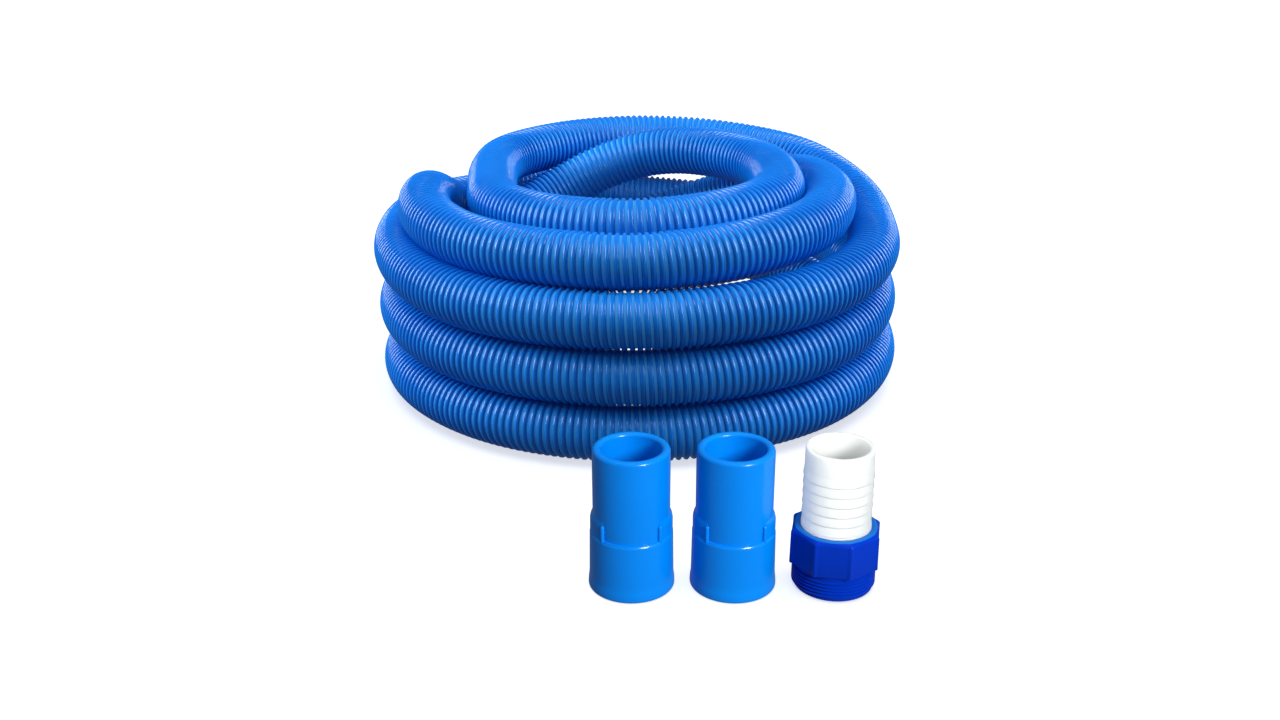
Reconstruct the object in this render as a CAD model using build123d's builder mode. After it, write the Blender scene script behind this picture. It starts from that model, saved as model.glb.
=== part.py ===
from build123d import *
import math
import os

# Pool vacuum hose, wound into a free-standing coil, with its two loose swivel cuffs and its
# threaded hose adaptor standing in a row in front of it.
# Millimetres. +Z is up and +Y points from the row of fittings towards the coil.
# The origin is on the floor, under the middle of the whole set.

os.makedirs("parts", exist_ok=True)

# ---------------------------------------------------------------- hose and its coil
hose_od = 44.0              # over the spiral rib
hose_wall = 3.0             # from the crest of the rib to the smooth bore
coil_radius = 208.0         # centre line of the stacked turns
turn_rise = 45.0            # from one stacked turn to the next
stacked_turns = 3
loop_insets = (78.0, 26.0)  # how far inside the stack's centre line the two upper loops run
loop_lift = 5.0             # how much higher the inner loop lies than the outer one
loop_shift = (-5.0, 13.0)   # the two loops' centre, from the axis of the stack

hose_r = hose_od / 2
hose_bore_r = hose_r - hose_wall
coil_outer_r = coil_radius + hose_r
loop_radii = [coil_radius - inset for inset in loop_insets]

# ---------------------------------------------------------------- swivel cuff
neck_wall = 5.3
socket_grip = 0.5           # the soft socket is this much tighter than its 38 mm spigot, on the radius
neck_height = 44.5          # smooth socket end, above the high shoulders
notch_depth = 10.3          # from the high shoulders down to the low ones
skirt_height = 38.2         # hose end, from the base to the low shoulders
skirt_wall = 2.05
skirt_flare = 0.4           # growth of the skirt's radius down to its lip
lip_step = 0.6
lip_height = 5.0
mouth_round = 1.6
hose_clearance = 0.2        # round the hose, in the threaded insert
cavity_height = 34.0        # the swivel's room inside the skirt
insert_wall = 1.45
running_clearance = 0.08    # radial, where one piece turns in another
end_clearance = 0.3         # along the axis, where one piece turns on another
ring_height = 2.2
ring_depth = 0.6            # bite of the retaining ring into the skirt
ring_lift = 1.8             # the retaining ring's underside, above the base
ring_opening = 0.8          # how much wider the ring is inside than the insert, on the radius
seal_height = 2.4
notch_angle = 90.0          # width of each of the two notches between the high shoulders
stop_rib = 1.3              # radius of the small ribs at the corners of a notch
stop_rib_height = 10.0      # how far a stop rib stands over the low shoulder

neck_bore_r = hose_bore_r - socket_grip
neck_r = neck_bore_r + neck_wall
insert_bore_r = hose_r + hose_clearance
insert_r = insert_bore_r + insert_wall
cavity_r = insert_r + running_clearance
skirt_top_r = cavity_r + skirt_wall
skirt_base_r = skirt_top_r + skirt_flare
lip_r = skirt_base_r + lip_step
high_shoulder = skirt_height + notch_depth
cuff_height = high_shoulder + neck_height
insert_base = ring_lift + ring_height + end_clearance
seal_base = cavity_height - seal_height
insert_top = seal_base - end_clearance

# ---------------------------------------------------------------- hose adaptor
barb_grip = 2.6             # how much wider than the hose's bore a barb is, on the radius
barb_depth = 0.55
barb_pitch = 6.5
barbs = 6
tail_wall = 3.4             # under the barbs
tail_tip = 13.0             # plain end over the last barb
tail_flange = 3.0           # thickness of the flange that the nut pulls down
flange_overlap = 1.1        # how far the flange reaches under the nut's seat
gasket_height = 2.5
sleeve_wall = 1.5           # the nut, between its seat and the root of its thread
thread_depth = 1.48         # 11 threads to the inch, pipe form
thread_pitch = 25.4 / 11
threads = 6
pilot_height = 1.2          # plain end of the nut, below its thread
relief_height = 2.0         # plain groove between the thread and the octagon
octagon_height = 24.0
octagon_step = 0.35         # from the crest of the thread to a flat of the octagon
octagon_bevel = 2.6
octagon_turn = -13.4        # degrees, the way the loose nut happens to face

barb_r = hose_bore_r + barb_grip
barb_root_r = barb_r - barb_depth
tail_bore_r = barb_root_r - tail_wall
nut_bore_r = barb_r + running_clearance
flange_r = nut_bore_r + flange_overlap
seat_r = flange_r + end_clearance
thread_root_r = seat_r + sleeve_wall
thread_r = thread_root_r + thread_depth
octagon_half = thread_r + octagon_step
flange_top = gasket_height + tail_flange
nut_base = end_clearance
seat_height = flange_top + end_clearance
thread_base = nut_base + pilot_height
relief_base = thread_base + threads * thread_pitch
octagon_base = relief_base + relief_height
nut_top = octagon_base + octagon_height
barb_start = nut_top + end_clearance
tail_top = barb_start + barbs * barb_pitch + tail_tip

# ---------------------------------------------------------------- places on the floor
row_distance = 381.0        # from the axis of the coil to the row of fittings
fitting_gap = 9.5           # free floor between neighbours in the row
first_cuff_x = -4.0

octagon_corner_r = octagon_half / math.cos(math.radians(22.5))
row_front_r = max(lip_r, octagon_corner_r * math.cos(math.radians(22.5 + octagon_turn)))
coil_y = (row_distance + row_front_r - coil_outer_r) / 2
row_y = coil_y - row_distance
second_cuff_x = first_cuff_x + 2 * lip_r + fitting_gap
adaptor_x = second_cuff_x + lip_r + fitting_gap + octagon_half


def upright_plane(x, y):
    """A sketch plane through (x, y) whose own x is +X and whose own y is +Z."""
    return Plane(origin=(x, y, 0), x_dir=(1, 0, 0), z_dir=(0, -1, 0))


def upright_axis(x, y):
    return Axis((x, y, 0), (0, 0, 1))


def ring(x, y, inner_r, outer_r, base, top):
    """A plain ring with square edges, standing on the height called base."""
    with BuildPart() as made:
        with BuildSketch(Plane((x, y, base))):
            Circle(outer_r)
            Circle(inner_r, mode=Mode.SUBTRACT)
        extrude(amount=top - base)
    return made.part


def finish(piece, name):
    piece.label = name
    export_step(piece, f"parts/{name}.step")


# ================================================================ the coiled hose
# The stack: three turns on each other, each one a scallop of the outer shape.
stack_heights = [hose_r + turn * turn_rise for turn in range(stacked_turns)]
web_half = hose_r * 0.72    # the filled band that joins neighbouring turns

with BuildPart() as hose_lower_coil:
    with BuildSketch(upright_plane(0, coil_y)):
        for height in stack_heights:
            with Locations((coil_radius, height)):
                Circle(hose_r)
        with Locations((coil_radius, (stack_heights[0] + stack_heights[-1]) / 2)):
            Rectangle(2 * web_half, stack_heights[-1] - stack_heights[0])
    revolve(axis=upright_axis(0, coil_y))
finish(hose_lower_coil.part, "hose_lower_coil")

# The last two loops lie side by side on the stack, the inner one a little higher.
loops_x = loop_shift[0]
loops_y = coil_y + loop_shift[1]
outer_loop_height = stack_heights[-1] + 2 * hose_r
inner_loop_height = outer_loop_height + loop_lift

with BuildPart() as hose_upper_coil:
    with BuildSketch(upright_plane(loops_x, loops_y)):
        with Locations((loop_radii[0], inner_loop_height)):
            Circle(hose_r)
        with Locations((loop_radii[1], outer_loop_height)):
            Circle(hose_r)
        with BuildLine():
            Polyline(
                (loop_radii[0], inner_loop_height - web_half),
                (loop_radii[1], outer_loop_height - web_half),
                (loop_radii[1], outer_loop_height + web_half),
                (loop_radii[0], inner_loop_height + web_half),
                close=True,
            )
        make_face()
    revolve(axis=upright_axis(loops_x, loops_y))
finish(hose_upper_coil.part, "hose_upper_coil")


# ================================================================ the swivel cuffs
def cuff_shell(x, y):
    """Outer moulding: socket neck, castellated shoulder, skirt with its lip, swivel cavity."""
    with BuildPart() as shell:
        with BuildSketch(upright_plane(x, y)) as profile:
            with BuildLine():
                Polyline(
                    (cavity_r, 0),
                    (lip_r, 0),
                    (lip_r, lip_height),
                    (skirt_base_r, lip_height + lip_step),
                    (skirt_top_r, high_shoulder),
                    (neck_r, high_shoulder),
                    (neck_r, cuff_height),
                    (neck_bore_r, cuff_height),
                    (neck_bore_r, cavity_height),
                    (cavity_r, cavity_height),
                    (cavity_r, ring_lift + ring_height),
                    (cavity_r + ring_depth, ring_lift + ring_height),
                    (cavity_r + ring_depth, ring_lift),
                    (cavity_r, ring_lift),
                    close=True,
                )
            make_face()
            fillet(profile.vertices().group_by(Axis.Y)[-1], mouth_round)
        revolve(axis=upright_axis(x, y))
        # two notches, front and back, leave the high shoulders at the sides
        for facing in (-90, 90):
            start = math.radians(facing - notch_angle / 2)
            edge = Plane(origin=(x, y, 0), x_dir=(math.cos(start), math.sin(start), 0),
                         z_dir=(math.sin(start), -math.cos(start), 0))
            with BuildSketch(edge):
                with BuildLine():
                    Polyline((neck_r, skirt_height), (lip_r, skirt_height),
                             (lip_r, high_shoulder), (neck_r, high_shoulder), close=True)
                make_face()
            revolve(axis=upright_axis(x, y), revolution_arc=notch_angle, mode=Mode.SUBTRACT)
        # small round ribs stand on the low shoulder in the corners of each notch
        with BuildSketch(Plane((x, y, skirt_height - 1))):
            with PolarLocations(neck_r + stop_rib * 0.6, 4, start_angle=45):
                Circle(stop_rib)
        extrude(amount=stop_rib_height + 1)
    return shell.part


def cuff_pieces(side, x):
    finish(cuff_shell(x, row_y), f"cuff_shell_{side}")
    finish(ring(x, row_y, insert_bore_r, insert_r, insert_base, insert_top),
           f"threaded_insert_{side}")
    finish(ring(x, row_y, insert_bore_r + ring_opening, cavity_r + ring_depth, ring_lift,
                ring_lift + ring_height), f"retaining_ring_{side}")
    finish(ring(x, row_y, neck_bore_r + hose_clearance, cavity_r, seal_base, cavity_height),
           f"hose_seal_{side}")


cuff_pieces("left", first_cuff_x)
cuff_pieces("right", second_cuff_x)

# ================================================================ the hose adaptor
# White tail: a flange at the bottom, a journal that the nut turns on, barbs and a plain tip.
with BuildPart() as barbed_tail:
    with BuildSketch(upright_plane(adaptor_x, row_y)):
        with BuildLine():
            outline = [(tail_bore_r, gasket_height), (flange_r, gasket_height),
                       (flange_r, flange_top), (barb_r, flange_top), (barb_r, barb_start)]
            for barb in range(barbs):
                foot = barb_start + barb * barb_pitch
                outline.append((barb_root_r, foot + barb_depth))
                outline.append((barb_r, foot + 2 * barb_depth))
                outline.append((barb_root_r, foot + barb_pitch))
            outline += [(barb_root_r, tail_top), (tail_bore_r, tail_top)]
            Polyline(*outline, close=True)
        make_face()
    revolve(axis=upright_axis(adaptor_x, row_y))
finish(barbed_tail.part, "barbed_tail")

# Blue nut: a sleeve with its thread outside and a seat for the flange inside, and an
# octagonal grip with a bevelled top above it.
with BuildPart() as swivel_nut:
    with BuildSketch(upright_plane(adaptor_x, row_y)):
        with BuildLine():
            outline = [(nut_bore_r, seat_height), (seat_r, seat_height), (seat_r, nut_base),
                       (thread_root_r, nut_base), (thread_root_r, thread_base)]
            for thread in range(threads):
                root = thread_base + thread * thread_pitch
                outline.append((thread_r, root + thread_pitch / 2))
                outline.append((thread_root_r, root + thread_pitch))
            outline += [(thread_root_r, octagon_base + 1), (nut_bore_r, octagon_base + 1)]
            Polyline(*outline, close=True)
        make_face()
    revolve(axis=upright_axis(adaptor_x, row_y))
    with BuildSketch(Plane((adaptor_x, row_y, octagon_base))):
        RegularPolygon(octagon_half, 8, major_radius=False, rotation=22.5 + octagon_turn)
        Circle(nut_bore_r, mode=Mode.SUBTRACT)
    extrude(amount=octagon_height)
    grip_top = swivel_nut.faces().sort_by(Axis.Z)[-1]
    chamfer(grip_top.outer_wire().edges(), octagon_bevel)
finish(swivel_nut.part, "swivel_nut")

finish(ring(adaptor_x, row_y, tail_bore_r + hose_clearance, flange_r, 0, gasket_height),
       "flat_gasket")
print("coil_y", round(coil_y, 3), "row_y", round(row_y, 3))
print("x", first_cuff_x, round(second_cuff_x, 3), round(adaptor_x, 3))
print("thread_r", round(thread_r, 3), "nut_top", round(nut_top, 3), "tail_top", round(tail_top, 3))
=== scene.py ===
# %% [markdown]
# # A coiled pool vacuum hose with its two swivel cuffs and a threaded hose adaptor
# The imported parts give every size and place, in metres. This notebook adds what a maker would
# see on the real thing: the spiral rib of the hose, the moulded shoulders of the cuffs, the
# barbs of the adaptor and its cut thread, and then the finish of each plastic.

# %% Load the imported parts
import math

import bmesh
import bpy
import numpy as np
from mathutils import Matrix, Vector


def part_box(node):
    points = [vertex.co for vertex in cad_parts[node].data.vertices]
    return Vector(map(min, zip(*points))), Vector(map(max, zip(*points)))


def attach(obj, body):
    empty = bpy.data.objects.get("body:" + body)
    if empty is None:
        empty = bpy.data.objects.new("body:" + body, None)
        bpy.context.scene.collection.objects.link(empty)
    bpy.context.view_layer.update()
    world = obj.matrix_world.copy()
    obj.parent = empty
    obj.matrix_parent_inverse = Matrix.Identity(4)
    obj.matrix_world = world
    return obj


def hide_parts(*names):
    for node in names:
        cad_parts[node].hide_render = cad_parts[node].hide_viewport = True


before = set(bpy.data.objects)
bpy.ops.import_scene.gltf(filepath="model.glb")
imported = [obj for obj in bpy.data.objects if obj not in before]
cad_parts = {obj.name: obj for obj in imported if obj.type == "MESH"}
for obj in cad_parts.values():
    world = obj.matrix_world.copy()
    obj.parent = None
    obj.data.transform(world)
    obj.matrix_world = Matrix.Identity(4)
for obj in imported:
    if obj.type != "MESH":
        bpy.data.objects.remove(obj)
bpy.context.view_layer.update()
mm = 0.001
scene = bpy.context.scene

# %% [markdown]
# ## Where things stand
# Every fitting is round, so the middle of its box is its axis. The stack of hose turns has an
# axis too, and the route of the hose is worked out round it.

# %% Find the axes
def axis_of(node):
    """The upright axis of a round part: the middle of its box, on the floor."""
    low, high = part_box(node)
    return Vector(((low.x + high.x) / 2, (low.y + high.y) / 2, 0))


coil_axis = axis_of("hose_lower_coil")
adaptor_axis = axis_of("barbed_tail")
cuff_axes = {side: axis_of(f"cuff_shell_{side}") for side in ("left", "right")}
print("coil axis", coil_axis.to_tuple(4), "adaptor axis", adaptor_axis.to_tuple(4))

# %% [markdown]
# ## The camera
# A camera that stands about a metre away and a little above the hose sees the coil as a set of
# flattened rings with the fittings in front. It looks straight along +Y and tilts down, so it
# needs no shift.

# %% Place the camera
camera_distance = 1.090
camera_height = 0.429
camera_aside = 0.0013
camera_tilt = 21.55

camera_data = bpy.data.cameras.new("front_view")
camera_data.lens = 36.7
camera_data.sensor_width = 36
camera = bpy.data.objects.new("front_view", camera_data)
camera.location = (camera_aside, coil_axis.y - camera_distance, camera_height)
camera.rotation_euler = (math.radians(90 - camera_tilt), 0, 0)
scene.collection.objects.link(camera)
scene.camera = camera
scene.view_settings.view_transform = "Standard"
print("camera at", tuple(round(part, 3) for part in camera.location))

# %% [markdown]
# ## The route of the hose
# The hose is one tube, about six metres long, laid by hand: three turns on each other, two
# looser loops on top, and a last turn that drops inside the stack. Each row below is a station
# along the route: how far round it is, how wide the turn is there and how high it lies. A loop
# walks round the axis in equal steps between the stations and gives the control points of one
# smooth NURBS spline.

# %% Stations along the coil
# degrees round the axis from the front, then millimetres out from it and up from the floor
stations = [
    (225, 172, 22), (247, 186, 22), (270, 197, 22), (295, 204, 22), (330, 207, 22),
    (360, 206, 22), (405, 206, 24), (450, 201, 28), (495, 212, 36), (540, 212, 50),
    (585, 214, 64), (630, 200, 69), (675, 205, 66), (720, 206, 66), (765, 204, 69),
    (810, 198, 76), (855, 212, 84), (900, 212, 94), (930, 220, 106), (960, 219, 113),
    (975, 210, 115), (990, 204, 115), (1010, 202, 113), (1035, 205, 110), (1080, 206, 110),
    (1125, 204, 114), (1170, 199, 122), (1195, 210, 134), (1215, 220, 146), (1240, 216, 154),
    (1260, 210, 156), (1280, 203, 155), (1305, 181, 152), (1320, 152, 151), (1335, 132, 151),
    (1350, 124, 152), (1395, 124, 155), (1440, 135, 160), (1485, 125, 161), (1530, 118, 162),
    (1575, 126, 163), (1605, 138, 160), (1620, 146, 153), (1635, 154, 138), (1650, 161, 117),
    (1665, 162, 104), (1680, 165, 104), (1695, 170, 127), (1710, 178, 153), (1725, 182, 151),
    (1755, 184, 147), (1800, 187, 147.5), (1845, 172, 152), (1875, 162, 152), (1905, 163, 150),
    (1920, 166, 146), (1935, 168, 134), (1950, 164, 114), (1980, 152, 84), (2010, 132, 54),
    (2040, 120, 28), (2070, 118, 22),
]
step_degrees = 15

# %% Walk round the axis
def coil_points():
    """Control points of the route, a little further out than the stations because a spline
    of order 3 cuts inside its corners."""
    angles, radii, heights = np.array(stations, float).T
    walked = np.arange(angles[0], angles[-1] + 1, step_degrees)
    corner = 1 / math.cos(math.radians(step_degrees / 2))
    reach = np.interp(walked, angles, radii) * corner * mm
    turn = np.radians(walked)
    return np.stack([coil_axis.x + reach * np.sin(turn),
                     coil_axis.y - reach * np.cos(turn),
                     np.interp(walked, angles, heights) * mm], axis=1)


def smooth_line(points):
    """The points of a NURBS spline through these control points, close together."""
    curve = bpy.data.curves.new("hose_route", "CURVE")
    curve.dimensions = "3D"
    curve.resolution_u = 16
    spline = curve.splines.new("NURBS")
    spline.points.add(len(points) - 1)
    for knot, place in zip(spline.points, points):
        knot.co = (*place, 1)
    spline.order_u = 3
    spline.use_endpoint_u = True
    guide = bpy.data.objects.new("hose_route", curve)
    traced = bpy.data.meshes.new_from_object(guide)
    line = np.array([vertex.co for vertex in traced.vertices])
    bpy.data.objects.remove(guide)
    return line


route = smooth_line(coil_points())
gaps = np.linalg.norm(np.diff(route, axis=0), axis=1)
along = np.concatenate([[0], np.cumsum(gaps)])
hose_length = float(along[-1])
print("hose length", round(hose_length, 3), "m over", len(route), "points")

# %% [markdown]
# ## Bending a straight tube along the route
# The hose is easiest to model straight, standing on the floor along Z. To lay it, every point
# of the route gets two directions across it. They are carried along from point to point with
# as little turning as possible, so that the tube doesn't twist where the route bends.

# %% Directions across the route
def across_route():
    """The route's direction at each point and the two directions across it."""
    ahead = np.gradient(route, axis=0)
    ahead /= np.linalg.norm(ahead, axis=1, keepdims=True)
    side = np.empty_like(route)
    carried = np.cross(ahead[0], (0, 0, 1))
    for place, direction in enumerate(ahead):
        carried = carried - direction * (carried @ direction)
        carried /= np.linalg.norm(carried)
        side[place] = carried
    return side, np.cross(ahead, side)


route_side, route_up = across_route()


def at(distance, values):
    """Values of the route's points, read at these distances along it."""
    return np.stack([np.interp(distance, along, values[:, part]) for part in range(3)], axis=1)


def lay_along(mesh, start):
    """Bend a mesh that stands along Z onto the route, from this distance along it."""
    places = np.empty(len(mesh.vertices) * 3, np.float32)
    mesh.vertices.foreach_get("co", places)
    places = places.reshape(-1, 3).astype(float)
    distance = places[:, 2] + start
    laid = (at(distance, route) + places[:, :1] * at(distance, route_side)
            + places[:, 1:2] * at(distance, route_up))
    mesh.vertices.foreach_set("co", laid.astype(np.float32).ravel())
    mesh.update()

# %% [markdown]
# ## Shared ways of making a piece
# Nearly everything here was turned or screwed, so two helpers make most of the shapes. One
# rounds the corners of an outline with a vertex bevel and spins it round the axis. The other
# spins a small section and lifts it at every step, which gives a helix.

# %% Turn an outline
def turned(outline, steps, loops=0):
    """A bmesh of revolution about Z. Each corner of the outline is (radius, height, rounding)
    in millimetres; loops cuts the long upright edges so that they can bend."""
    bm = bmesh.new()
    corners = [bm.verts.new((radius * mm, 0, height * mm)) for radius, height, _ in outline]
    bm.faces.new(corners)
    for rounding in sorted({corner[2] for corner in outline if corner[2]}):
        chosen = [vert for vert, corner in zip(corners, outline) if corner[2] == rounding]
        bmesh.ops.bevel(bm, geom=chosen, offset=rounding * mm, offset_type="OFFSET",
                        segments=4, profile=0.5, affect="VERTICES", material=-1)
    bmesh.ops.delete(bm, geom=bm.faces[:], context="FACES_ONLY")
    if loops:
        upright = [edge for edge in bm.edges if edge.calc_length() > 0.9 * hose_length]
        bmesh.ops.subdivide_edges(bm, edges=upright, cuts=loops)
    bmesh.ops.spin(bm, geom=bm.verts[:] + bm.edges[:], cent=(0, 0, 0), axis=(0, 0, 1),
                   angle=math.tau, steps=steps, use_merge=True)
    return bm

# %% Screw a section
def screwed(section, pitch, turns, steps):
    """A bmesh of a closed section, corners (radius, height) in millimetres, that climbs round
    Z by the pitch in every turn of so many steps. Its two ends are left open."""
    bm = bmesh.new()
    corners = [bm.verts.new((radius * mm, 0, height * mm)) for radius, height in section]
    edges = [bm.edges.new((corners[i - 1], corners[i])) for i in range(len(corners))]
    bmesh.ops.spin(bm, geom=corners + edges, cent=(0, 0, 0), axis=(0, 0, 1),
                   dvec=(0, 0, pitch / steps), angle=math.tau * turns,
                   steps=round(turns * steps))
    return bm

# %% Finish a piece
def finished(bm, name, body, material, sharp=40):
    """A shown object from a bmesh, riding on a body and with its finish on. Edges that turn by
    more than sharp degrees stay crisp."""
    bmesh.ops.remove_doubles(bm, verts=bm.verts[:], dist=1e-6)
    rims = [edge for edge in bm.edges if edge.is_boundary]
    if rims:
        bmesh.ops.holes_fill(bm, edges=rims)
    bmesh.ops.recalc_face_normals(bm, faces=bm.faces[:])
    mesh = bpy.data.meshes.new(name)
    bm.to_mesh(mesh)
    bm.free()
    mesh.polygons.foreach_set("use_smooth", [True] * len(mesh.polygons))
    mesh.set_sharp_from_angle(angle=math.radians(sharp))
    mesh.materials.append(material)
    piece = bpy.data.objects.new(name, mesh)
    scene.collection.objects.link(piece)
    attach(piece, body)
    print(name, len(mesh.polygons), "faces")
    return piece

# %% [markdown]
# ## The plastics
# Every finish here is a moulded or extruded plastic or a rubber. They share one recipe: a cloudy
# colour that is never quite even, a gloss that varies with it, and a fine skin that only shows
# in the highlights. What differs is the colour, the gloss and the size of the grain. The white
# plastic of the tail is also a little milky, so light sinks in and softens its shadows.

# %% A recipe for plastic
def plastic(name, pale, deep, gloss, grain, depth, cloud=14, shine_level=0.3, milky=0.0):
    """A procedural plastic. pale and deep are the two ends of its colour, gloss is the lowest
    and highest roughness, grain is the skin's scale and depth its height in millimetres.
    cloud is the scale of the colour's clouds, and milky how much light sinks in."""
    material = bpy.data.materials.new(name)
    material.use_nodes = True
    nodes, links = material.node_tree.nodes, material.node_tree.links
    shader = nodes["Principled BSDF"]
    shader.inputs["Specular IOR Level"].default_value = shine_level
    if milky:
        shader.inputs["Subsurface Weight"].default_value = milky
        shader.inputs["Subsurface Radius"].default_value = (1, 1, 1)
        shader.inputs["Subsurface Scale"].default_value = 0.008
    place = nodes.new("ShaderNodeTexCoord")
    clouds = nodes.new("ShaderNodeTexNoise")
    clouds.inputs["Scale"].default_value = cloud
    clouds.inputs["Detail"].default_value = 5
    colour = nodes.new("ShaderNodeValToRGB")
    colour.color_ramp.elements[0].position = 0.32
    colour.color_ramp.elements[0].color = (*deep, 1)
    colour.color_ramp.elements[1].position = 0.68
    colour.color_ramp.elements[1].color = (*pale, 1)
    shine = nodes.new("ShaderNodeMapRange")
    shine.inputs["To Min"].default_value = gloss[0]
    shine.inputs["To Max"].default_value = gloss[1]
    skin = nodes.new("ShaderNodeTexNoise")
    skin.inputs["Scale"].default_value = grain
    skin.inputs["Detail"].default_value = 3
    bump = nodes.new("ShaderNodeBump")
    bump.inputs["Strength"].default_value = 0.6
    bump.inputs["Distance"].default_value = depth * mm
    links.new(place.outputs["Object"], clouds.inputs["Vector"])
    links.new(place.outputs["Object"], skin.inputs["Vector"])
    links.new(clouds.outputs["Fac"], colour.inputs["Fac"])
    links.new(clouds.outputs["Fac"], shine.inputs["Value"])
    links.new(colour.outputs["Color"], shader.inputs["Base Color"])
    links.new(shine.outputs["Result"], shader.inputs["Roughness"])
    links.new(skin.outputs["Fac"], bump.inputs["Height"])
    links.new(bump.outputs["Normal"], shader.inputs["Normal"])
    return material

# %% The finishes
hose_rib_blue = plastic("hose_rib_blue", (0.004, 0.17, 0.63), (0.003, 0.14, 0.55),
                        (0.14, 0.24), 700, 0.05, shine_level=0.3)
# The wall's blue is paler than the rib's, and brighter still as painted light that offsets the
# shade in the grooves between the ribs.
hose_wall_pale_and_painted_light = plastic("hose_wall_pale_and_painted_light", (0.08, 0.48, 1.0), (0.06, 0.42, 0.96),
                         (0.30, 0.45), 500, 0.05, shine_level=0.12)
cuff_azure = plastic("cuff_azure", (0.0002, 0.23, 0.80), (0.0002, 0.205, 0.74),
                     (0.18, 0.27), 1100, 0.02, shine_level=0.35)
nut_blue = plastic("nut_blue", (0.0008, 0.035, 0.46), (0.0006, 0.028, 0.40),
                   (0.14, 0.24), 900, 0.03, shine_level=0.15)
# A lighter blue for the rim's upward faces: painted light from above on the nut's own blue.
nut_rim_painted_light = plastic("nut_rim_painted_light", (0.008, 0.15, 0.52), (0.006, 0.13, 0.47),
                       (0.30, 0.40), 900, 0.03, shine_level=0.15)
tail_white = plastic("tail_white", (0.74, 0.745, 0.71), (0.69, 0.70, 0.67),
                     (0.32, 0.44), 900, 0.04, milky=0.8)
ring_white = plastic("ring_white", (0.80, 0.81, 0.81), (0.74, 0.75, 0.76),
                     (0.38, 0.50), 900, 0.03)
seal_black = plastic("seal_black", (0.025, 0.025, 0.028), (0.014, 0.014, 0.016),
                     (0.55, 0.72), 1400, 0.06)

# %% [markdown]
# ## The smooth wall of the hose
# Under its rib the hose is a thin smooth tube of a paler blue, which shows as a fine line
# between one turn of the rib and the next. That blue is also brighter than the wall's own
# colour, as painted light that offsets the shade the ribs throw into the grooves. It is spun as
# a straight tube with its long edges cut into short ones, and then laid along the route. It
# rides on the hose body, as the ribs do.

# %% Make the wall
wall_outer_r = 20.1
wall_inner_r = 19.0
wall_piece_length = 6 * mm

wall_outline = [(wall_inner_r, 0, 0), (wall_outer_r, 0, 0),
                (wall_outer_r, hose_length / mm, 0), (wall_inner_r, hose_length / mm, 0)]
wall_bm = turned(wall_outline, 32, loops=round(hose_length / wall_piece_length) - 1)
hose_wall = finished(wall_bm, "hose_wall", "hose", hose_wall_pale_and_painted_light)
lay_along(hose_wall.data, 0)

# %% [markdown]
# ## The spiral rib
# The rib is a round-topped bead, about two millimetres tall, wound round the wall more than a
# thousand times. One turn is screwed up from its section and an Array modifier repeats it, each
# copy one pitch further along. The rib is made in four equal lengths so that no mesh grows
# too large, and each length is then laid on its own quarter of the route.

# %% One turn of the rib
rib_pieces = 4
rib_turns = 265
rib_steps = 36
rib_pitch = hose_length / (rib_pieces * rib_turns + 1)
rib_section = [(19.9, -1.8), (21.2, -1.55), (21.85, -0.8), (22.0, 0), (21.85, 0.8),
               (21.2, 1.55), (19.9, 1.8)]
print("rib pitch", round(rib_pitch / mm, 3), "mm")


def rib_length(name):
    """A straight length of rib, as many turns long as each piece has."""
    bm = screwed(rib_section, rib_pitch, 1, rib_steps)
    one_turn = bpy.data.meshes.new(name)
    bm.to_mesh(one_turn)
    bm.free()
    holder = bpy.data.objects.new(name, one_turn)
    scene.collection.objects.link(holder)
    repeat = holder.modifiers.new("turns", "ARRAY")
    repeat.use_relative_offset = False
    repeat.use_constant_offset = True
    repeat.constant_offset_displace = (0, 0, rib_pitch)
    repeat.count = rib_turns
    repeat.use_merge_vertices = True
    repeat.merge_threshold = 1e-5
    evaluated = holder.evaluated_get(bpy.context.evaluated_depsgraph_get())
    repeated = bmesh.new()
    repeated.from_mesh(evaluated.to_mesh())
    bpy.data.objects.remove(holder)
    return repeated

# %% Wind the rib on
hose_ribs = []
for number in range(rib_pieces):
    rib = finished(rib_length(f"rib_{number}"), f"hose_rib_{number + 1}", "hose",
                   hose_rib_blue, sharp=60)
    lay_along(rib.data, rib_pitch * (number * rib_turns + 0.5))
    hose_ribs.append(rib)

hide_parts("hose_lower_coil", "hose_upper_coil")

# %% [markdown]
# ## The swivel cuffs
# A cuff is one soft moulding: a smooth neck with a thick rounded mouth, a shoulder, and a
# slightly wider skirt that ends in a flared lip. The shoulder is the detail that gives it away.
# At the sides it stands ten millimetres higher than at the front and back, and a small pin
# stands in each corner of the step. The shell is turned with an even shoulder, and then the
# shoulder's rings are pulled down between the two angles of each notch.

# %% Outline of the cuff
neck_r = 23.8
socket_r = 18.5
cavity_r = 23.73
skirt_r = 25.78
lip_r = 26.78
high_shoulder = 48.5
notch_depth = 10.3
cuff_height = 93.0
cavity_height = 34.0

low_shoulder = high_shoulder - notch_depth

cuff_outline = [
    (cavity_r, 0, 0.5), (lip_r, 0, 1.5), (lip_r, 4.2, 2.2), (skirt_r + 0.35, 8.2, 3.0),
    (skirt_r, low_shoulder - 1.1, 0.6), (skirt_r - 0.75, low_shoulder, 0.5),
    (skirt_r - 0.75, high_shoulder - 2.2, 0.9), (neck_r + 0.8, high_shoulder + 0.3, 0.6),
    (neck_r, high_shoulder + 2.2, 1.0),
    (neck_r, cuff_height, 2.3), (socket_r, cuff_height, 2.0),
    (socket_r, cavity_height, 0.6), (cavity_r, cavity_height, 0.3),
]

# %% Make a cuff
notch_half_angle = 45
pin_r = 1.25
pin_reach = 0.75
ledge_slope = 0.04
blend_angle = 30
shoulder_start, shoulder_growth = 0.2, 1.15


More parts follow.
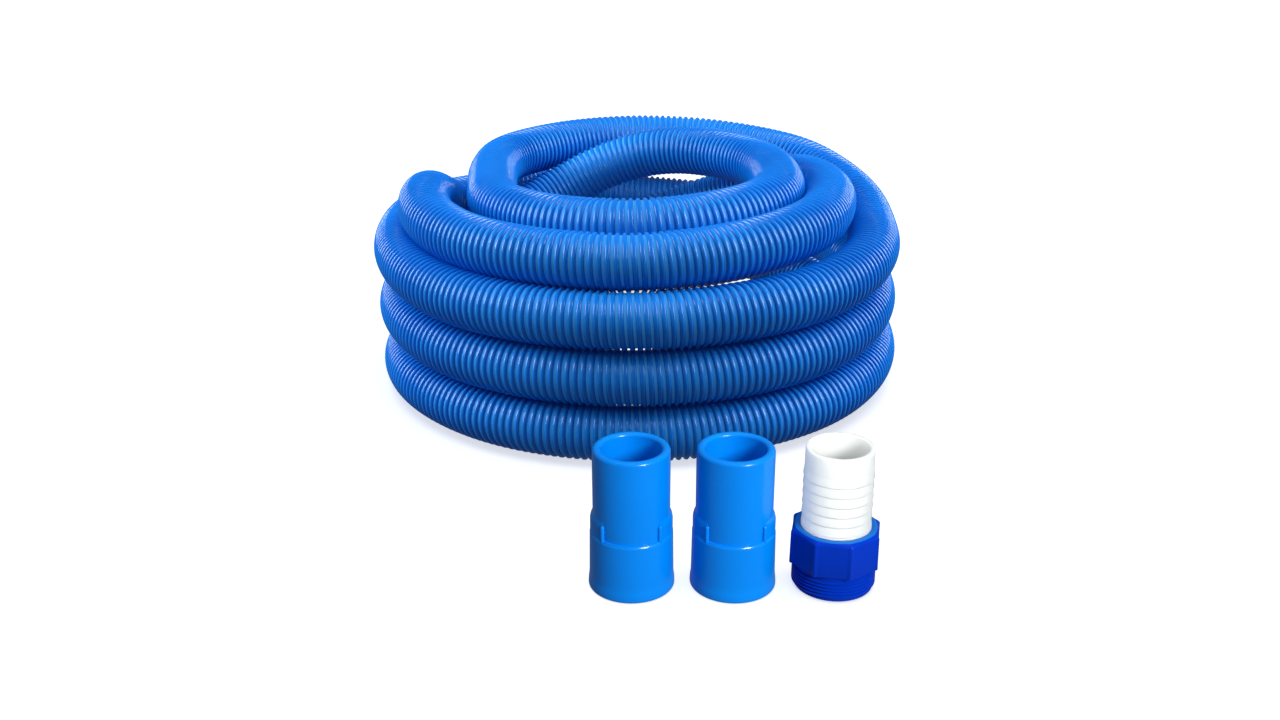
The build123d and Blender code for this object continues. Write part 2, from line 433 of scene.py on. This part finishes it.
def cut_the_notches(bm):
    """Fold the raised shoulder down to a ledge at the front and the back. Towards the sides it
    grows out from the neck until it stands as far out as the skirt."""
    for vert in bm.verts:
        height = vert.co.z / mm
        out = math.hypot(vert.co.x, vert.co.y) / mm
        over_ledge = height - low_shoulder
        if out < neck_r - 0.1 or not 0.1 < over_ledge < notch_depth + 4:
            continue
        facing = abs(math.degrees(math.atan2(vert.co.y, vert.co.x)))
        if abs(facing - 90) < notch_half_angle:
            vert.co.z = (low_shoulder + over_ledge * ledge_slope) * mm
        elif out > neck_r + 0.1:
            past_notch = min(1.0, (abs(facing - 90) - notch_half_angle) / blend_angle)
            step = (out - neck_r) * (shoulder_start + shoulder_growth * past_notch)
            vert.co.xy *= (neck_r + min(step, skirt_r - neck_r)) / out


def add_stop_pins(bm):
    """A pin with a round top in each corner of the two notches."""
    pin_height = notch_depth + 1.5
    for corner in (45, 135, 225, 315):
        pin = bmesh.ops.create_cone(bm, cap_ends=True, segments=16, radius1=pin_r * mm,
                                    radius2=pin_r * mm, depth=pin_height * mm)["verts"]
        top = [edge for edge in {edge for vert in pin for edge in vert.link_edges}
               if min(vert.co.z for vert in edge.verts) > 0]
        reach = (neck_r + pin_reach) * mm
        middle = (high_shoulder - pin_height / 2) * mm
        bmesh.ops.translate(bm, verts=pin, vec=(reach * math.cos(math.radians(corner)),
                                                reach * math.sin(math.radians(corner)), middle))
        bmesh.ops.bevel(bm, geom=top, offset=pin_r * 0.9 * mm, offset_type="OFFSET", segments=4,
                        profile=0.5, affect="EDGES", material=-1)


for side, axis in cuff_axes.items():
    shell_bm = turned(cuff_outline, 180)
    cut_the_notches(shell_bm)
    add_stop_pins(shell_bm)
    bmesh.ops.translate(shell_bm, verts=shell_bm.verts[:], vec=axis)
    shell = finished(shell_bm, f"cuff_{side}", f"{side}_cuff", cuff_azure)
    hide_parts(f"cuff_shell_{side}")

# %% [markdown]
# ## Inside the cuff
# The hose screws into a threaded ring that turns freely in the skirt. A white retaining ring
# under it holds it in, and a rubber seal above it keeps the air out. The thread is the shape
# of the hose's own rib, so it uses the same pitch.

# %% Make the swivel
insert_r = 23.65
insert_bore_r = 22.2
insert_low, insert_high = 4.3, 31.3
thread_ridge = [(22.3, -1.0), (21.1, -0.45), (21.1, 0.45), (22.3, 1.0)]
ridge_turns = 4
ridge_foot = 6.4
ring_bore_r, ring_r = 23.0, 24.33
ring_low, ring_high = 1.8, 4.0
seal_bore_r = 18.7
seal_low = 31.6

for side, axis in cuff_axes.items():
    insert_bm = turned([(insert_bore_r, insert_low, 0.4), (insert_r, insert_low, 0.3),
                        (insert_r, insert_high, 0.3), (insert_bore_r, insert_high, 0.4)], 96)
    ridge_bm = screwed(thread_ridge, rib_pitch, ridge_turns, 48)
    bmesh.ops.holes_fill(ridge_bm, edges=[edge for edge in ridge_bm.edges if edge.is_boundary])
    bmesh.ops.translate(ridge_bm, verts=ridge_bm.verts[:], vec=(0, 0, ridge_foot * mm))
    ridge = bpy.data.meshes.new("ridge")
    ridge_bm.to_mesh(ridge)
    ridge_bm.free()
    insert_bm.from_mesh(ridge)
    bpy.data.meshes.remove(ridge)
    bmesh.ops.translate(insert_bm, verts=insert_bm.verts[:], vec=axis)
    insert = finished(insert_bm, f"swivel_insert_{side}", f"{side}_swivel",
                      cuff_azure)
    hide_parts(f"threaded_insert_{side}")

    ring_bm = turned([(ring_bore_r, ring_low, 0.4), (ring_r, ring_low, 0.3),
                      (ring_r, ring_high, 0.3), (ring_bore_r, ring_high, 0.4)], 96)
    bmesh.ops.translate(ring_bm, verts=ring_bm.verts[:], vec=axis)
    ring = finished(ring_bm, f"snap_ring_{side}", f"{side}_cuff", ring_white)
    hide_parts(f"retaining_ring_{side}")

    seal_bm = turned([(seal_bore_r, seal_low, 0.9), (cavity_r, seal_low, 0.3),
                      (cavity_r, cavity_height, 0.3), (seal_bore_r, cavity_height, 0.9)], 96)
    bmesh.ops.translate(seal_bm, verts=seal_bm.verts[:], vec=axis)
    seal = finished(seal_bm, f"lip_seal_{side}", f"{side}_cuff", seal_black)
    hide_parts(f"hose_seal_{side}")

# %% [markdown]
# ## The white tail of the adaptor
# The other end of the hose is pushed over this tail. Its barbs are shallow cones that narrow
# towards the open end, so that the hose slides on and doesn't come off. They are corners of one
# outline, added in a loop, and the whole tail is one turned piece.

# %% Make the tail
tail_low, tail_high = (corner.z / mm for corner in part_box("barbed_tail"))
nut_low, nut_high = (corner.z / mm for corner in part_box("swivel_nut"))
barb_r = 21.6
barb_root_r = 20.85
tail_bore_r = 17.65
flange_r = 22.78
flange_thickness = 3
barb_pitch = 6.5
barbs = 6

tail_outline = [(tail_bore_r, tail_low, 0.4), (flange_r, tail_low, 0.3),
                (flange_r, tail_low + flange_thickness, 0.3),
                (barb_r, tail_low + flange_thickness, 0), (barb_r, nut_high + 0.3, 0)]
for barb in range(barbs):
    foot = nut_high + 0.3 + barb * barb_pitch
    tail_outline += [(barb_root_r, foot + 0.5, 0.12), (barb_r, foot + 1.1, 0.2),
                     (barb_root_r + 0.1, foot + barb_pitch - 0.3, 0.2)]
tail_outline += [(barb_root_r, tail_high, 0.9), (tail_bore_r, tail_high, 0.9)]

tail_bm = turned(tail_outline, 144)
bmesh.ops.translate(tail_bm, verts=tail_bm.verts[:], vec=adaptor_axis)
tail = finished(tail_bm, "hose_tail", "adaptor", tail_white, sharp=30)
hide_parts("barbed_tail")

gasket_bore_r = 17.85

gasket_bm = turned([(gasket_bore_r, 0, 0.4), (flange_r, 0, 0.4), (flange_r, tail_low, 0.2),
                    (gasket_bore_r, tail_low, 0.2)], 96)
bmesh.ops.translate(gasket_bm, verts=gasket_bm.verts[:], vec=adaptor_axis)
gasket = finished(gasket_bm, "base_gasket", "adaptor", seal_black)
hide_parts("flat_gasket")

# %% [markdown]
# ## The nut of the adaptor
# The nut is turned first, as if it were round, and each ring of points on the grip is then
# pushed out to an octagon. A narrow bead runs down every corner and ends in a small tip. At the
# top the octagon fades into a round rim, and below it the pipe thread is screwed on as a ridge
# of its own.

# %% Shape of the grip
octagon_half = 26.41
octagon_turn = -10.5
corner_bead = 0.6
bead_half_angle = 2.3
corner_tip, tip_fade = 0.35, 1.6
flat_limit = 20.3
grip_bevel = 1.5
nut_bore_r = 21.68
seat_r = 23.08
seat_height = 5.8
thread_root_r = 24.58
thread_r = 26.06
thread_pitch = 25.4 / 11
thread_turns = 6
thread_low = nut_low + 1.2
grip_low = thread_low + thread_turns * thread_pitch + 2


def grip_r(angle, height):
    """How far out the grip reaches, in millimetres, in this direction and at this height."""
    from_corner = (angle - octagon_turn) % 45 - 22.5
    from_flat = min(22.5 - abs(from_corner), flat_limit)
    tip = corner_tip * max(0.0, 1 - (height - grip_low) / tip_fade)
    bead = (corner_bead + tip) * math.exp(-(from_corner / bead_half_angle) ** 4)
    return octagon_half / math.cos(math.radians(from_flat)) + bead


def shape_the_grip(bm):
    """Push the round grip out to an octagon that fades into the round rim at the top."""
    for vert in bm.verts:
        out = math.hypot(vert.co.x, vert.co.y) / mm
        height = vert.co.z / mm
        share = 1 - (octagon_half - out) / grip_bevel
        if height < grip_low - 0.5 or share <= 0:
            continue
        angle = math.degrees(math.atan2(vert.co.y, vert.co.x)) + 90
        vert.co.xy *= (out + (grip_r(angle, height) - octagon_half) * min(1, share)) / out

# %% Make the nut
nut_outline = [
    (nut_bore_r, seat_height, 0.2), (seat_r, seat_height, 0.2), (seat_r, nut_low, 0.3),
    (thread_root_r, nut_low, 0.7), (thread_root_r, grip_low, 0.3), (octagon_half, grip_low, 0.3),
    (octagon_half, nut_high - 1.9, 1.0), (octagon_half - grip_bevel, nut_high, 1.0),
    (nut_bore_r, nut_high, 0.6),
]
nut_bm = turned(nut_outline, 288)
shape_the_grip(nut_bm)

pipe_thread = [(thread_root_r - 0.15, -1.05), (thread_r - 0.12, -0.25), (thread_r - 0.12, 0.25),
               (thread_root_r - 0.15, 1.05)]
thread_bm = screwed(pipe_thread, thread_pitch * mm, thread_turns - 0.5, 72)
bmesh.ops.holes_fill(thread_bm, edges=[edge for edge in thread_bm.edges if edge.is_boundary])
bmesh.ops.translate(thread_bm, verts=thread_bm.verts[:], vec=(0, 0, (thread_low + 0.6) * mm))
thread = bpy.data.meshes.new("thread")
thread_bm.to_mesh(thread)
thread_bm.free()
nut_bm.from_mesh(thread)
bpy.data.meshes.remove(thread)
bmesh.ops.translate(nut_bm, verts=nut_bm.verts[:], vec=adaptor_axis)
nut = finished(nut_bm, "octagon_nut", "adaptor_nut", nut_blue, sharp=35)
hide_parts("swivel_nut")

# %% Paint light onto the top of the round rim
rim_depth = 0.45

# The faces that look up, at the top of the rim, get a lighter blue: painted light from above on
# the nut's own blue.
nut.data.materials.append(nut_rim_painted_light)
for face in nut.data.polygons:
    if face.normal.z > 0.5 and face.center.z / mm > nut_high - rim_depth:
        face.material_index = 1
print("nut rim:", sum(face.material_index for face in nut.data.polygons), "faces")

# %% [markdown]
# ## The floor and the surround
# The set stands on a white floor in a white surround. The floor glows a little, so that it stays
# white under soft lamps, and it is hidden from bounced and glossy light, as if the set stood on
# clear glass over a white sheet. That keeps the undersides of the hose dark. The surround is
# white only where the camera sees it. What it adds to the lighting is a dim, bluish fill, and a
# Light Path node chooses between the two.

# %% Make the floor
floor_glow = 0.65

floor_bm = bmesh.new()
bmesh.ops.create_grid(floor_bm, x_segments=1, y_segments=1, size=12)
floor_mesh = bpy.data.meshes.new("floor")
floor_bm.to_mesh(floor_mesh)
floor_bm.free()
floor = bpy.data.objects.new("floor", floor_mesh)
scene.collection.objects.link(floor)
floor_white = plastic("floor_white", (0.93, 0.93, 0.93), (0.92, 0.92, 0.92), (0.55, 0.6),
                      200, 0.02, cloud=1.5)
floor_mesh.materials.append(floor_white)

floor_shader = floor_white.node_tree.nodes["Principled BSDF"]
floor_shader.inputs["Emission Color"].default_value = (1, 1, 1, 1)
floor_shader.inputs["Emission Strength"].default_value = floor_glow
floor.visible_diffuse = False
floor.visible_glossy = False
print("floor", [round(side, 1) for side in floor.dimensions.xy], "metres across")

# %% Make the surround
fill_strength = 0.22
wall_strength = 1.05

world = bpy.data.worlds.new("studio")
world.use_nodes = True
world_nodes, world_links = world.node_tree.nodes, world.node_tree.links
soft_fill = world_nodes["Background"]
soft_fill.inputs["Color"].default_value = (0.6, 0.78, 1, 1)
soft_fill.inputs["Strength"].default_value = fill_strength
white_wall = world_nodes.new("ShaderNodeBackground")
white_wall.inputs["Color"].default_value = (1, 1, 1, 1)
white_wall.inputs["Strength"].default_value = wall_strength
light_path = world_nodes.new("ShaderNodeLightPath")
surround = world_nodes.new("ShaderNodeMixShader")
world_links.new(light_path.outputs["Is Camera Ray"], surround.inputs["Fac"])
world_links.new(soft_fill.outputs["Background"], surround.inputs[1])
world_links.new(white_wall.outputs["Background"], surround.inputs[2])
world_links.new(surround.outputs["Shader"], world_nodes["World Output"].inputs["Surface"])
scene.world = world
print("surround made of", len(world_nodes), "nodes")

# %% [markdown]
# ## The lamps
# A broad lamp overhead lights everything evenly. It is hidden from reflections, which would
# otherwise put a grey haze on the blues. Two softboxes light the hose from its sides, which
# brightens its bends and the flanks of its ribs and leaves the crests in front deeper, and a small
# one gives the ribs their glints. The fittings have a key lamp at the front right, and the white
# tail has a fill of its own from the left. Light linking keeps each lamp to its own pieces: a
# lamp's receiver collection holds the only objects that it lights.

# %% Group the pieces by lamp
def lit_group(name, pieces):
    """A collection of these pieces, for lamps that light only them."""
    group = bpy.data.collections.new(name)
    for piece in pieces:
        group.objects.link(bpy.data.objects[piece])
    return group


hose_group = lit_group("hose_group", ["hose_wall"] + [rib.name for rib in hose_ribs])
fitting_group = lit_group("fitting_group", [
    "cuff_left", "cuff_right", "hose_tail", "octagon_nut", "swivel_insert_left",
    "swivel_insert_right", "lip_seal_left", "lip_seal_right"])
tail_group = lit_group("tail_group", ["hose_tail"])

# %% Hang the lamps
coil_middle = (0, 0.1, 0.1)
coil_front = (0, 0, 0.1)
set_middle = (0, 0, 0.06)
cuffs_middle = (0.06, -0.3, 0.05)
tail_middle = (0.12, -0.3, 0.05)


def aimed(name, lamp, place, target, group=None):
    """A lamp at this place that faces the target and lights one group, or everything."""
    holder = bpy.data.objects.new(name, lamp)
    holder.location = place
    holder.rotation_euler = (Vector(target) - Vector(place)).to_track_quat("-Z", "Y").to_euler()
    holder.light_linking.receiver_collection = group
    scene.collection.objects.link(holder)
    return holder


def softbox(name, size, energy, place, target, group):
    """A square lamp, size metres across and energy watts strong, with soft-edged shadows."""
    lamp = bpy.data.lights.new(name, "AREA")
    lamp.size = size
    lamp.energy = energy
    aimed(name, lamp, place, target, group)


overhead_lamp = bpy.data.lights.new("overhead", "SUN")
overhead_lamp.energy = 1.65
overhead_lamp.angle = math.radians(60)
overhead = aimed("overhead", overhead_lamp, (0.1, 0.0, 2.0), set_middle)
overhead.visible_glossy = False

softbox("left_box", 0.8, 27, (-1.3, 0.1, 0.75), coil_middle, hose_group)
softbox("right_box", 0.8, 27, (1.3, 0.1, 0.75), coil_middle, hose_group)
softbox("rib_glints", 0.06, 1.0, (0.1, -1.1, 1.1), coil_front, hose_group)
softbox("tail_fill", 0.5, 6, (-0.5, -1.0, 0.4), tail_middle, tail_group)
softbox("fitting_key", 0.35, 22, (0.75, -1.3, 0.7), cuffs_middle, fitting_group)
print("lamps:", len(bpy.data.lights))
